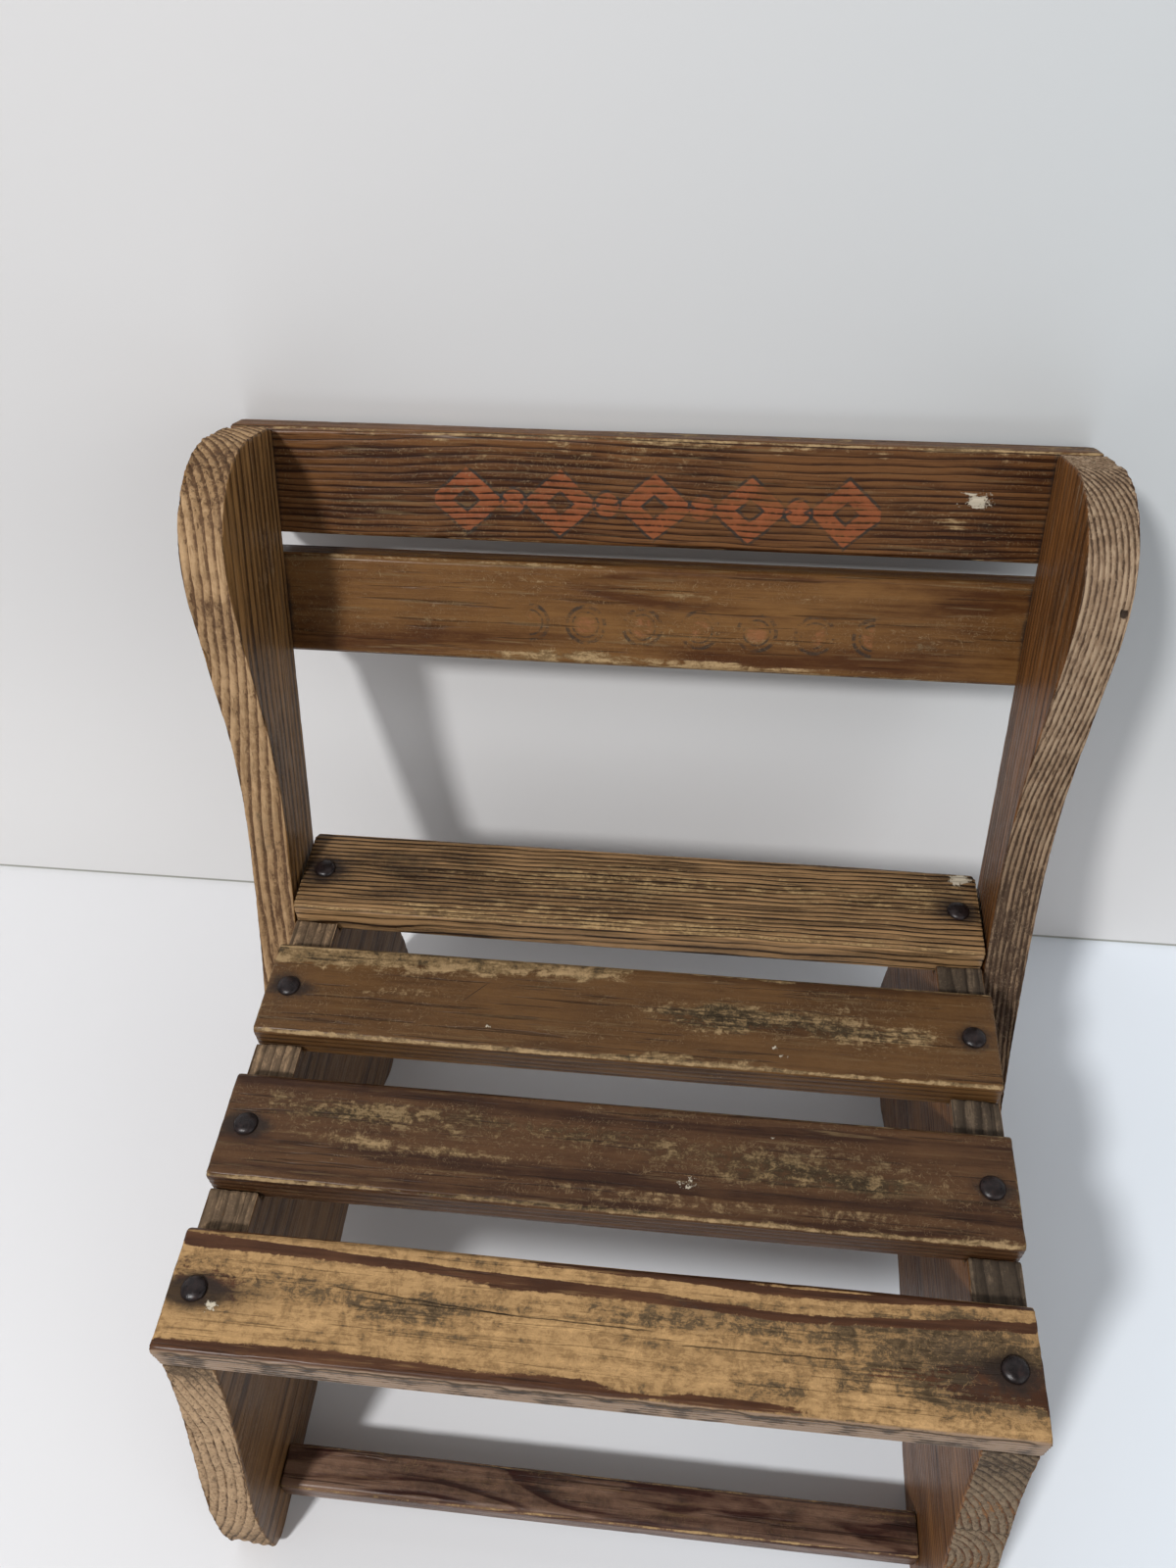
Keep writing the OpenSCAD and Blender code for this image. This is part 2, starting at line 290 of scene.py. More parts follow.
soft_lamp("ceiling lamp", (-0.36, -0.58, 0.73), distance=2.6, width=0.26, level=0.74)
soft_lamp("broad lamp", (0.85, -0.75, 0.55), distance=2.4, width=1.8, level=0.17)
world = bpy.data.worlds.new("even light")
bpy.context.scene.world = world
world.use_nodes = True
world.node_tree.nodes["Background"].inputs["Color"].default_value = (0.98, 0.99, 1.0, 1)
world.node_tree.nodes["Background"].inputs["Strength"].default_value = 0.30
bpy.context.scene.view_settings.view_transform = "Standard"

# %% [markdown]
# ## How a board grows
# A trunk grows one ring a year: pale soft earlywood, then a thin band of hard dark latewood. A board is a
# slice of that, so the same nested rings show as long bands on its face, fine lines on its edge and arcs on
# its end. All three come out right when every point's distance from the heart of the tree is measured.
#
# Each board therefore has three directions: u along the grain, v across it, and w out of its face. Its heart
# is a place in v and w, and its rings have a width. Smooth noise bends the rings a little.


# %% Noise and marks
def swell(points, size, seed):
    """Smooth noise from about -1 to 1; size gives how long its swells are in each direction."""
    return np.array([noise.noise(p) for p in (points / size + seed).tolist()])


def step(x, low, high):
    """0 below low, 1 above high, smooth between."""
    t = np.clip((x - low) / (high - low), 0, 1)
    return t * t * (3 - 2 * t)


def spots(place, marks):
    """Sums soft oval marks, each (u, v, half length, half width, strength) in millimetres."""
    total = np.zeros(len(place))
    for u, v, long, wide, strength in marks:
        reach = ((place[:, 0] / MM - u) / long) ** 2 + ((place[:, 1] / MM - v) / wide) ** 2
        total += strength * np.exp(-reach)
    return total


def ragged(place, seed):
    """The places pushed about by a few millimetres, so that a mark drawn there comes out ragged."""
    moved = place.copy()
    moved[:, 0] += 14 * MM * swell(place, (15 * MM,) * 3, seed + 51)
    moved[:, 1] += 3 * MM * swell(place, (30 * MM, 10 * MM, 10 * MM), seed + 57)
    moved[:, 1] += 2 * MM * swell(place, (6 * MM, 4 * MM, 4 * MM), seed + 61)
    return moved


middle_mark = spots(np.zeros((1, 3)), [(0, 0, 10, 10, 0.5)])
print("a mark of strength 0.5 gives", round(float(middle_mark[0]), 2), "at its middle")


# %% Rings
def rings(place, board):
    """Each point's age in rings: its distance from the tree's heart over the ring width."""
    u, v, w = place.T
    seed = board.seed
    heart = np.array([board.heart] * len(place))
    if board.glued:
        glue_line, other_heart = board.glued
        heart[v < glue_line] = other_heart
    dv = v - heart[:, 0] - board.lean[0] * u
    dv += board.wander * swell(place, (90 * MM, 45 * MM, 45 * MM), seed)
    dw = w - heart[:, 1] - board.lean[1] * u
    dw += board.wander * swell(place, (110 * MM, 50 * MM, 50 * MM), seed + 7)
    fine = board.ripple * swell(place, (22 * MM, 9 * MM, 9 * MM), seed + 13)
    return (np.hypot(dv, dw) + fine) / board.ring + board.phase + spots(place, board.swirls)


def ridge(age):
    """A soft wave with one crest a ring, wide enough for the surface net to carry."""
    return 0.5 - 0.5 * np.cos(2 * math.pi * (age - 0.22))


print("crest of a ring at age 0.72:", round(float(ridge(np.float64(0.72))), 2))

# %% [markdown]
# ## What sets one board apart
# The plain board below holds the usual facts, and each board later names only what differs: its directions,
# its tree, and where it is worn, soiled or stained. Marks are in millimetres from the board's middle.

# %% A plain board
PLAIN_BOARD = dict(
    fine=0.62,  # size of the net's cells across the grain, in millimetres
    drawn_out=3.0,  # how many times longer a cell is along the grain
    lean=(0.0, 0.0),  # how far the heart moves in v and w for each metre of u
    swirls=(),  # marks that bend the rings, in years
    glued=None,  # (v of a glue line, the heart of the board below it)
    relief=0.2,  # how deep the soft wood is worn, in millimetres
    rim_relief=0.0,  # the same, more, on the front of a sawn rim
    side_relief=0.0,  # the same, more, on the side that is side_from
    sunk_lines=True,  # whether the dark lines are sunk, or stand proud
    shaped=False,  # whether the outline is sawn to a curve, which makes its edge a rim
    front=1,  # 1 if the shown face looks along w, -1 if it looks the other way
    side_from=-1,  # the same for the side, along v
    rim_axis=1,  # the direction whose low end is the front of the rim: 0 is u and 1 is v
    crown=0.0,  # how much the rim's far end in u counts as front too
    worn=0.1,
    arris_wear=0.35,
    top_worn=0.0,
    rim_worn=0.0,
    worn_at=(),
    soil_at=(),
    rim_soil_at=(),
    # Dark marks: real stains, and painted shade at the ends of the back slats.
    stain_at=(),
    fleck_at=(),
    nicks=0.35,  # depth of the nicks along an arris, in millimetres
    hollows=(20, 0.8),  # length and depth of the hollows in a rim, in millimetres
    # Holes are sunk and painted near black inside: painted shade.
    holes=(),  # each (u, v, w, radius) in millimetres
)
print("a plain board has", len(PLAIN_BOARD), "facts")

# %% [markdown]
# ## Even nets
# A frame piece has a few large faces, and relief needs many small even ones. Remesh with voxels gives them.
# The piece is squeezed along the grain first and drawn out again afterwards, so that the cells come out
# long: the same detail for a third of the faces.


# %% Board nets
def net_of(node, directions, fine, drawn_out):
    """The frame piece's surface as an even net of small faces, longer along the grain."""
    net = merged_net(node)
    turn = Matrix([list(d) for d in directions]).to_4x4()
    squeeze = Matrix.Diagonal((1 / drawn_out, 1, 1, 1))
    bmesh.ops.transform(net, matrix=squeeze @ turn, verts=net.verts)
    rough = add_object(node, finished_mesh(net, node))
    remesh = rough.modifiers.new("even net", "REMESH")
    remesh.mode, remesh.voxel_size, remesh.use_smooth_shade = "VOXEL", fine, True
    even = bpy.data.meshes.new_from_object(rough.evaluated_get(bpy.context.evaluated_depsgraph_get()))
    bpy.data.objects.remove(rough)
    even.transform(turn.inverted() @ squeeze.inverted())
    return even


def numbers_of(mesh, label):
    """The mesh's points ("co") or normals ("normal"), one row each."""
    flat = np.empty(len(mesh.vertices) * 3)
    mesh.vertices.foreach_get(label, flat)
    return flat.reshape(-1, 3)


print("nets come at", PLAIN_BOARD["fine"], "mm unless a board says otherwise")

# %% [markdown]
# ## Wear
# Hands, feet and floors wear a board unevenly. Arrises round off and take nicks, end grain gets rough, and
# the rim of a curved board is dented. Which of these a point belongs to follows from where its normal looks.
# Wear only takes wood away: each point moves inwards, and the board stays inside its frame piece.


# %% Parts of a surface
def surface_parts(facing, board):
    """How much each point belongs to an arris, the shown face, an end, the side and the rim, from 0 to 1."""
    across = np.hypot(facing[:, 0], facing[:, 1])
    flat_sides = np.maximum(np.abs(facing[:, 2]), across) if board.shaped else np.abs(facing).max(1)
    rim = step(1 - np.abs(facing[:, 2]), 0.3, 0.7)
    forward = -facing[:, board.rim_axis] + board.crown * facing[:, 0]
    return SimpleNamespace(
        arris=step(1 - flat_sides, 0.02, 0.24),
        face=step(facing[:, 2] * board.front, 0.2, 0.8),
        end=step(np.abs(facing[:, 0]), 0.25, 0.75),
        side=step(facing[:, 1] * board.side_from, 0.5, 0.9),
        top=step(facing[:, 1], 0.6, 0.9),
        rim=rim,
        front_rim=rim * step(forward, 0.0, 0.5) if board.shaped else 0,
    )


def wear_depth(place, part, board, late, worn, inside_holes):
    """How far each point is worn in, in millimetres."""
    broad = swell(place, (70 * MM, 14 * MM, 14 * MM), board.seed + 21)
    nicks = swell(place, (9 * MM, 4 * MM, 4 * MM), board.seed + 31)
    relief = board.relief + board.rim_relief * part.front_rim + board.side_relief * part.side
    sunk = late if board.sunk_lines else 1 - late
    depth = relief * sunk * (0.55 + 0.45 * step(worn, 0.2, 0.8)) * (1 + 0.3 * broad)
    depth += 0.10 * (1 + broad)
    depth += part.arris * (0.12 + board.nicks * step(nicks, 0.0, 0.6) + 0.2 * step(broad, 0, 0.7))
    depth += part.end * 0.12 * (1 + nicks)
    depth += 0.12 * step(nicks, 0.35, 0.7)
    if board.shaped:
        length, deepest = board.hollows
        depth += part.rim * deepest * step(swell(place, (length * MM,) * 3, board.seed + 41), -0.1, 0.5)
    return depth + 2 * inside_holes


print("parts of a surface:", *vars(surface_parts(np.eye(3), SimpleNamespace(**PLAIN_BOARD))))


# %% Worked boards
def add_piece(name, mesh, finish, body, node):
    """Puts a finished mesh in place of a frame piece, riding on its body."""
    piece = add_object(name, mesh)
    piece.data.materials.append(finish)
    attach(piece, body)
    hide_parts(node)


def worn_board(name, node, body, facts, finish):
    """Makes a board from its frame piece: an even net, worn down, with its wear kept as attributes."""
    board = SimpleNamespace(**{**PLAIN_BOARD, **facts})
    directions = [Vector(d).normalized() for d in board.directions]
    mesh = net_of(node, directions, board.fine * MM, board.drawn_out)
    points, normals = numbers_of(mesh, "co"), numbers_of(mesh, "normal")
    turn = np.array([list(d) for d in directions])
    place, facing = (points - np.array(middle_of(node))) @ turn.T, normals @ turn.T
    part = surface_parts(facing, board)
    torn = ragged(place, board.seed)
    age = rings(place, board)
    # Each hole is sunk 2 mm, and its inside is painted dark as shade.
    inside_holes = np.zeros(len(place))
    for u, v, w, radius in board.holes:
        away = np.linalg.norm(place / MM - (u, v, w), axis=1)
        inside_holes += 1 - step(away, 0.6 * radius, 1.2 * radius)
    worn = board.worn + part.face * spots(torn, board.worn_at)
    worn += board.arris_wear * part.arris + board.rim_worn * part.front_rim
    depth = wear_depth(place, part, board, ridge(age), worn, inside_holes)
    mesh.vertices.foreach_set("co", (points - normals * depth[:, None] * MM).ravel())
    marks = {
        "age": age,
        "worn": worn + board.top_worn * part.top,
        "soil": part.face * spots(torn, board.soil_at) + part.rim * spots(torn, board.rim_soil_at),
        # Dark marks: real stains, plus painted shade at the back slats' ends and inside holes.
        "stain": part.face * spots(place, board.stain_at) + 1.6 * inside_holes,
        "fleck": part.face * spots(place, board.fleck_at),
        "end": part.end,
        "side": part.side,
        "shown": part.face,
    }
    for label, values in marks.items():
        layer = mesh.attributes.new(label, "FLOAT", "POINT")
        layer.data.foreach_set("value", values.astype(np.float32))
    mesh.update()
    add_piece(name, mesh, finish, body, node)
    print(name, len(mesh.polygons), "faces,", round(float(np.ptp(age)), 1), "rings,", end=" ")
    print("worn in by", round(float(depth.min()), 2), "to", round(float(depth.max()), 2), "mm")

# %% [markdown]
# ## Old varnished pine
# Under varnish the earlywood is warm brown and the latewood red-brown; worn bare, the wood is tan, with dirt
# rubbed into its lines. The boards' meshes carry how old, worn and dirty each point is, and the material
# adds what is finer than the net. Hard latewood holds its varnish longest, so it counts against the wear.
# As with the boards, each finish later names only what differs from one plain look.

# %% A plain look
PLAIN_LOOK = dict(
    turn=(0, 0, 0),  # turns the coordinates so that the grain runs along an axis
    along=0,  # the axis that the grain runs along, after the turn
    varnish=((0.125, 0.060, 0.021), (0.036, 0.0130, 0.0045)),  # earlywood and latewood
    bare=((0.36, 0.235, 0.110), (0.20, 0.120, 0.052), (0.065, 0.043, 0.022)),  # pale, middle and dark
    dirt=(0.033, 0.024, 0.014),
    grain=1.0,  # strength of the latewood lines
    streaky=1.0,  # strength of the streaks between them
    late_from=0.42,  # the part of the year at which latewood starts
    crevices=0.0,  # strength of the dark line at the end of each year
    sunk=0.3,  # how deep the latewood lines look
    hold=0.45,  # how much longer latewood keeps its varnish
    lifting=(0.38, 0.64),  # the wear at which varnish starts to lift, and at which it is gone
    smear=0.7,  # how round the scuffs are: 1 is round, and less is drawn out along the grain
    mottle=1.0,  # contrast of the scuffs on bare wood
    weathered=0.0,  # how much the side is greyed
    side_tint=None,  # a colour of its own for the side
    gloss=0.42,  # roughness of whole varnish
    specular=0.14,
    coat=0.14,
    cracks=(),
    paint=None,
)
CRACK_BLACK = (0.014, 0.009, 0.006)
# Near black for stains, and for the painted shade at slat ends and in holes.
STAIN_AND_SHADE_BLACK = (0.022, 0.0140, 0.0105)
PORE_BROWN = (0.06, 0.040, 0.026)
CHIP_WHITE = (0.60, 0.53, 0.41)


def shade(colour, level):
    return [c * level for c in colour]


def tones(value, stops):
    """A colour that runs through several stops, each (value, colour), as value rises."""
    colour = stops[0][1]
    for (low, _), (high, above) in zip(stops, stops[1:]):
        colour = value.fade(low, high).over(colour, above)
    return colour


print("a plain look has", len(PLAIN_LOOK), "values")

# %% [markdown]
# A plank shows noise at every scale, and most of it is drawn out along the grain: fibres and streaks, short
# dark resin ducts, scuffs, rubbed patches, grit and fine hairs. The years come from the age that the mesh
# carries, shaken a little by the fibres.


# %% Wood patterns
def wood_patterns(place, look):
    """Every pattern that the finish is mixed from, and the marks that the mesh carries."""

    def drawn(long):
        """The place squeezed along the grain, so that noise over it comes out in streaks."""
        return place.placed(scale=[long if axis == look.along else 1.0 for axis in range(3)])

    wood = SimpleNamespace(place=place)
    for label in ("age", "worn", "soil", "stain", "end", "side", "fleck", "shown"):
        setattr(wood, label, place.node("Attribute", {"attribute_name": label}, out=2))
    wood.fibres = drawn(0.035).spread(620, detail=3, roughness=0.6).fade(0.34, 0.66) - 0.5
    wood.streaks = drawn(0.03).spread(210, detail=4, roughness=0.6).fade(0.34, 0.66) - 0.5
    wood.dashes = drawn(0.03).spread(520, detail=2).fade(0.61, 0.68)
    wood.glints = drawn(0.05).spread(400, detail=4, roughness=0.65).fade(0.58, 0.68)
    wood.blotch = drawn(look.smear / 2).spread(45, detail=5, roughness=0.6) - 0.5
    wood.scuff = drawn(look.smear).spread(150, detail=10, roughness=0.76, distortion=0.5) - 0.5
    rubbed = drawn(0.4).spread(420, detail=4, roughness=0.7, distortion=0.8)
    wood.rub = rubbed.fade(0.36, 0.64) - 0.5
    wood.grit = place.spread(900, detail=3, roughness=0.75) - 0.5
    bent = place.spread(150, detail=2, roughness=0.5, distortion=2.6) - 0.5
    wood.hairs = 1 - bent.math("ABSOLUTE").fade(0.003, 0.017)
    year = wood.age + wood.streaks * 0.07 + wood.fibres * 0.05 + wood.scuff * 0.10
    year = year.math("FRACT")
    wood.late = year.fade(look.late_from, 0.80) * (1 - year.fade(0.90, 0.995))
    wood.late = wood.late * (0.85 + wood.streaks * 0.35 + wood.blotch * 1.2)
    wood.crevice = year.fade(0.80, 0.90) * (1 - year.fade(0.93, 0.99)) * look.crevices
    wood.weather = wood.side * look.weathered
    return wood


def lines_along(place, along, marks):
    """A mask of hair-fine cracks, each (from, to, axis it lies across, where on it, lean) in metres."""
    jitter = (place.spread(90, detail=3) - 0.5) * (1.6 * MM)
    total = 0
    for first, last, across, at, lean in marks:
        run = place.axis(along)
        off = (place.axis(across) - run * lean - at + jitter).math("ABSOLUTE")
        inside = run.fade(first, first + 6 * MM) * (1 - run.fade(last - 6 * MM, last))
        total = (1 - off.fade(0.05 * MM, 0.36 * MM)) * inside * 0.75 + total
    return total


print("wood patterns ready")

# %% [markdown]
# Two colours lie over each other: brown varnished wood, and bare wood under it. A third mask says where the
# varnish has lifted. Each is a sum of the patterns, with weights that were found one by one.


# %% Varnish and bare wood
def varnished(wood, look):
    """Whole varnish: dark years, streaks and dashes, with pale glints where it is rubbed thin."""
    tone = wood.late * (0.62 * look.grain) + wood.fibres * (0.36 * look.streaky)
    tone = tone + wood.streaks * (0.44 * look.streaky) + wood.blotch * 1.8
    brown = (tone + wood.rub * 0.12).math("ADD", 0.33, clamp=True).over(*look.varnish)
    brown = (wood.dashes * 0.6 + wood.crevice).over(brown, shade(look.varnish[1], 0.45))
    thin = wood.worn * 0.8 + wood.blotch * 1.6 + wood.scuff - wood.late * (look.hold - 0.45) + 0.30
    return (wood.glints * thin).math("MINIMUM", 0.7).over(brown, look.bare[1])


def bare_wood(wood, look):
    """Wood without varnish, from pale tan to the dirt that is rubbed into its lines."""
    lines = wood.late * (0.95 * min(look.grain, 1.0)) + wood.dashes * 0.4
    tan = wood.scuff * 1.7 + wood.rub * 0.26 + wood.grit * 0.5 + wood.blotch * 0.7
    tan = tan * (wood.soil * 1.2 + 1.0) * look.mottle + wood.fibres * 0.14 + wood.streaks * 0.14 + 0.66
    tan = tan + wood.worn * 0.10 - wood.soil * 0.60 - lines * 0.40
    tan = tan - wood.crevice * 0.15 - wood.weather * 0.34
    pale, middle, dark = look.bare
    darks = (0.0, shade(dark, 0.7)), (0.36, shade(dark, 1.3))
    return tones(tan, (*darks, (0.60, middle), (0.84, pale), (1.1, shade(pale, 1.3))))


def lifted(wood, look):
    """0 where the varnish is whole, and 1 where it has gone."""
    wear = wood.worn + wood.soil * 0.75 + wood.scuff * 1.6 + wood.blotch * 0.9
    wear = wear + wood.fibres * 0.12 + wood.rub * 0.16 + wood.weather
    return (wear - wood.late * look.hold).fade(*look.lifting)


print("varnish and bare wood ready")


# %% Pine finish
def pine(name, **changes):
    """Varnished pine, worn and soiled as the mesh says. changes are the values that aren't plain."""
    look = SimpleNamespace(**{**PLAIN_LOOK, **changes})
    material, place, shader = new_finish(name)
    wood = wood_patterns(place.placed(turn=look.turn), look)
    bare = lifted(wood, look)
    colour = bare.over(varnished(wood, look), bare_wood(wood, look))
    grime = (wood.soil * 0.5 + wood.scuff * 2.0 + wood.blotch * 1.4 + wood.rub * 0.25).fade(0.28, 0.80)
    if look.side_tint:
        tint = wood.side * (1.2 + wood.scuff * 1.2 + wood.fibres * 0.3 + wood.streaks * 0.3)
        colour = tint.math("ADD", 0, clamp=True).over(colour, look.side_tint)
        grime = grime * (1 - wood.side * 0.8)
    if look.paint:
        colour = look.paint(colour, wood)
    colour = (grime * 0.5).over(colour, look.dirt)
    combed = wood.soil * 1.2 + wood.worn * 0.6 + wood.blotch * 2.0 - wood.late * look.hold + 0.16
    combed = combed.fade(-0.02, 0.45) * wood.hairs * (wood.rub + 0.34).fade(0.0, 0.4)
    colour = (combed * 0.62).over(colour, shade(look.bare[0], 0.8))
    # Stains darken towards near black, and so does the painted shade at slat ends and in holes.
    stain_and_shade_mask = (wood.stain + wood.blotch * 1.4 + wood.scuff * 1.4).fade(0.22, 1.0)
    colour = (stain_and_shade_mask * 0.92).over(colour, STAIN_AND_SHADE_BLACK)
    pores = wood.end * wood.grit.fade(0.07, 0.16) * 0.75
    colour = pores.over(colour, PORE_BROWN)
    chip = (wood.fleck * 0.8 + wood.scuff * 3.0 + wood.grit * 1.2).fade(0.50, 0.62)
    chip = chip * wood.fleck.fade(0.1, 0.3)
    colour = (chip * 0.9).over(colour, CHIP_WHITE)
    crack = 0
    if look.cracks:
        crack = lines_along(wood.place, look.along, look.cracks)
        colour = crack.over(colour, CRACK_BLACK)
    rough = bare * 0.26 + grime * 0.15 + wood.fibres * 0.06 + wood.scuff * 0.5 + wood.end * 0.15 + look.gloss
    height = wood.fibres * 0.16 + wood.streaks * 0.10 - bare * 0.25 + wood.scuff * 0.5 + wood.rub * 0.10
    height = height - pores - wood.dashes * 0.6 + chip * 0.5 - wood.late * look.sunk
    height = height - crack - wood.crevice * 0.6
    bump = place.node("Bump", {}, {"Strength": 0.8, "Distance": 0.5 * MM, "Height": height})
    coat = (1 - bare) * (1 - grime) * (1 - wood.end) * look.coat
    plug(place, shader, Base_Color=colour, Roughness=rough, Normal=bump, Coat_Weight=coat)
    plug(place, shader, Specular_IOR_Level=look.specular, Coat_Roughness=0.24)
    return material


print("pine finish ready")

# %% [markdown]
# ## Seat slats
# Four slats, each nailed near both ends, with a dark stain round the iron. u runs to the right along the
# slat, v to the rear, w up. The front one is worn nearly bare, with bands of hard latewood left standing.

# %% Front seat slat
SLAT_WAYS = ((1, 0, 0), (0, 1, 0), (0, 0, 1))
NAIL_U = 160.5
ACROSS, UP = 1, 2


def nail_stains(reach):
    """A stain round each of a seat slat's two nails."""
    return [(side * NAIL_U, 0, reach, reach * 0.75, 1.0) for side in (-1, 1)]


def seat_slat(node, facts, finish):
    worn_board(node + "_wood", node, "seat_frame", dict(facts, directions=SLAT_WAYS), finish)


def crack(node, first, last, across, off, lean=0.0):
    """A crack from first to last along the grain, off by so many millimetres from the board's middle."""
    return first * MM, last * MM, across, middle_of(node)[across] + off * MM, lean


front_slat = dict(
    heart=(-4.3 * MM, -64 * MM), lean=(-0.020, 0.0), ring=2.9 * MM, phase=0.66, wander=0.8 * MM,
    ripple=0.15 * MM, seed=3.0, relief=0.25, sunk_lines=False, worn=0.80, arris_wear=0.1,
    worn_at=[
        (0, -4, 150, 16, 0.35), (0, -24, 175, 3, 0.4), (125, -21, 42, 5, 1.8), (147, -1, 22, 15, -0.45),
        (-150, 1, 26, 9, -0.75), (137, -5, 5, 4, 0.7), (158, 16, 9, 4, 0.6),
    ],
    swirls=[
        (20, -18, 13, 5, -0.28), (-175, 18, 75, 14, -0.42), (60, 15, 40, 10, 0.06),
        (175, 16, 55, 12, -0.45), (-175, -20, 60, 10, -0.45),
    ],
    soil_at=[
        (-72, 0.5, 26, 4, 0.60), (-110, 4, 32, 6, 0.30), (-45, 3, 22, 4, 0.32), (20, 7, 22, 4, 0.42),
        (62, 7, 34, 4.5, 0.50), (96, -12, 7, 6, 0.50), (70, -15, 7, 4, 0.50), (112, 6, 18, 8, 0.40),
        (95, 2, 60, 14, 0.10), (-150, 2, 24, 12, 0.25), (147, -1, 27, 17, 1.15), (0, -24, 170, 1.6, 0.25),
    ],
    stain_at=[
        *nail_stains(11), (-166, -1, 26, 5, 0.75), (150, -1, 20, 8, 0.45), (-130, 1, 30, 4, 0.30),
        (0, 26, 240, 1.7, 0.75), (110, -25, 75, 1.2, 0.5),
    ],
    fleck_at=[(-152, -6, 3.2, 2.4, 1.0)],
)
front_finish = pine(
    "front slat pine", mottle=0.85, smear=1.1, hold=1.5, grain=0.7,
    bare=((0.40, 0.243, 0.107), (0.270, 0.158, 0.067), (0.092, 0.059, 0.030)),
    varnish=((0.100, 0.041, 0.017), (0.050, 0.018, 0.007)),
    dirt=(0.056, 0.042, 0.032), side_tint=(0.27, 0.185, 0.125),
    cracks=[
        crack("front_seat_slat", *run)
        for run in (
            (-95, 25, ACROSS, 1.5, -0.012), (-108, -30, ACROSS, -0.3, -0.06), (32, 99, ACROSS, -3.6, 0.012),
            (-170, 170, ACROSS, -24.5), (-170, 170, UP, 5.5), (-170, 170, UP, 6.0, 0.001),
        )
    ],
)
seat_slat("front_seat_slat", front_slat, front_finish)

# %% [markdown]
# The second and third slats keep more varnish, scuffed through to tan wood in patches and on an arris.

# %% Second seat slat
SCUFFED = ((0.330, 0.222, 0.112), (0.175, 0.112, 0.052), (0.046, 0.031, 0.016))
second_slat = dict(
    heart=(3 * MM, -58 * MM), lean=(-0.022, 0.0), ring=3.4 * MM, phase=0.45, wander=1.4 * MM,
    ripple=0.2 * MM, seed=11.0, relief=0.25, worn=0.14, arris_wear=0.42,
    worn_at=[
        (-107, 10, 30, 5, 0.28), (-60, -7, 62, 4, 0.40), (-122, -5, 28, 4, 0.34), (60, -16, 70, 3, 0.40),
        # The band at (0, -24.8) is the front arris worn to tan wood, brightened as a painted highlight on its
        # rounded edge.
        (95, -4, 35, 5, 0.32), (0, -24.8, 240, 2.4, 0.75), (40, -19.5, 60, 1.2, 0.22),
    ],
    soil_at=[
        (-132, 9, 36, 8, 0.50), (-60, 9, 50, 7, 0.46), (-10, 11, 40, 7, 0.52), (40, 4, 36, 8, 0.44),
        (87, -1, 42, 9, 0.48), (130, -6, 36, 9, 0.40), (-90, -9, 40, 4, 0.25),
    ],
    stain_at=[*nail_stains(11), (-165, 0, 24, 4, 0.6), (0, 26, 240, 1.7, 0.6)],
    fleck_at=[(33, -10, 5, 3, 0.55), (36, -4, 4, 3, 0.50), (70, 14, 1.2, 0.8, 1.0)],
)
second_finish = pine(
    "second slat pine", gloss=0.38, streaky=0.7, smear=1.1, lifting=(0.34, 0.86),
    bare=[shade(tone, 0.88) for tone in SCUFFED], varnish=((0.092, 0.043, 0.0175), (0.034, 0.0130, 0.0055)),
)
seat_slat("second_seat_slat", second_slat, second_finish)

# %% Third seat slat
third_slat = dict(
    heart=(-2 * MM, -90 * MM), lean=(0.010, 0.0), ring=3.6 * MM, phase=0.35, wander=1.1 * MM,
    ripple=0.2 * MM, seed=23.0, relief=0.18, worn=0.06, arris_wear=0.5,
    worn_at=[
        (-150, 20.5, 60, 7, 1.7), (-92, 20.5, 45, 5, 1.5), (-42, 21, 36, 4, 1.3), (80, 24, 105, 2.2, 1.0),
        # The band at (0, -24.8) is the front arris worn to tan wood, brightened as a painted highlight on its
        # rounded edge.
        (0, -24.8, 240, 2.3, 0.95), (30, -21.5, 35, 2.0, 0.7), (50, 0, 30, 6, 0.70),
        (112, -3, 36, 6, 0.58), (-110, 2, 40, 3, 0.22),
    ],
    soil_at=[
        (12, 2, 18, 6, 0.40), (44, 1, 26, 7, 0.46), (80, 2, 30, 8, 0.42), (122, -1, 32, 7, 0.36),
        (-130, -4, 50, 5, 0.15),
    ],
    stain_at=[*nail_stains(11), (-150, -2, 34, 4, 0.3)],
    fleck_at=[(-62, -13.5, 1.5, 1, 1.2), (74, -17, 1.5, 1, 1.2), (70, -13, 1.5, 1, 1.0)],
)
third_finish = pine(
    "third slat pine", gloss=0.38, streaky=0.6, smear=1.1, lifting=(0.34, 0.74), mottle=0.9,
    bare=SCUFFED, varnish=((0.124, 0.060, 0.0205), (0.052, 0.022, 0.0075)),
    cracks=[crack("third_seat_slat", -78, -62, ACROSS, 75, 1.0)],
)
seat_slat("third_seat_slat", third_slat, third_finish)

# %% [markdown]
# The rear slat was sawn on the quarter: its heart lies far to one side, so its rings cross the face as
# many fine parallel ridges.

